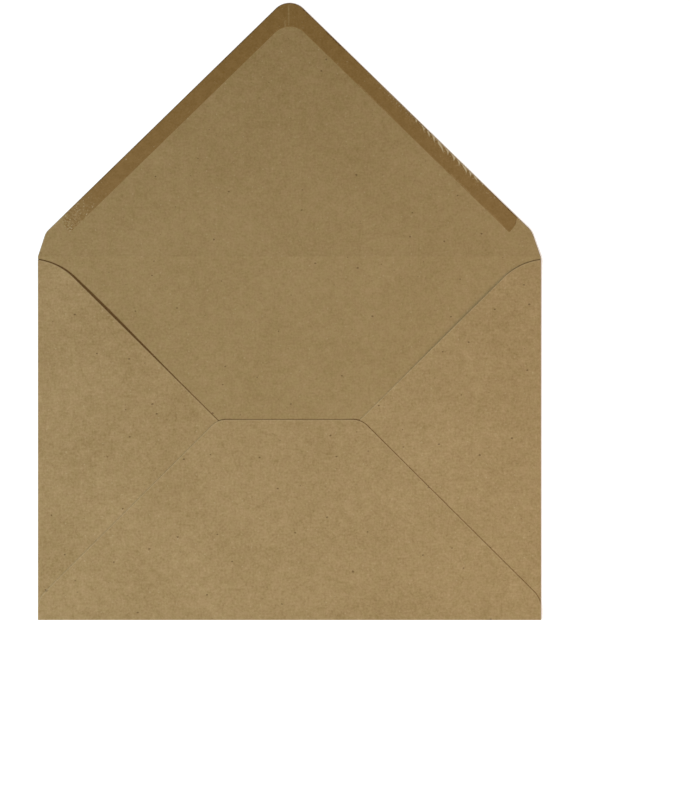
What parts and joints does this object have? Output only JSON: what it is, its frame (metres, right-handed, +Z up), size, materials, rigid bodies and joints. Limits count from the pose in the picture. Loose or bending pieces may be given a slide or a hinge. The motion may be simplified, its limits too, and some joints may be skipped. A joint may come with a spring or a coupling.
{
  "type": "kraft envelope",
  "caption": "Kraft paper envelope lying on its address side, with side flaps folded in, a bottom flap glued up over them and a gummed pointed seal flap folded open.",
  "frame": {"origin": "on the table, under the middle of the opened envelope's outline", "axes": "+X across the envelope, +Y from the bottom fold towards the tip of the seal flap, +Z up, out of the back"},
  "size_m": [0.184, 0.2258, 0.0012],
  "materials": {
    "kraft_paper": "uncoated brown kraft with fine fibres and sparse dark flecks",
    "dried_gum": "thin dried remoistenable gum, darker brown with a faint sheen"
  },
  "bodies": {
    "root": {"folded_sheet": "kraft_paper", "seal_gum": "dried_gum"}
  },
  "joints": []
}
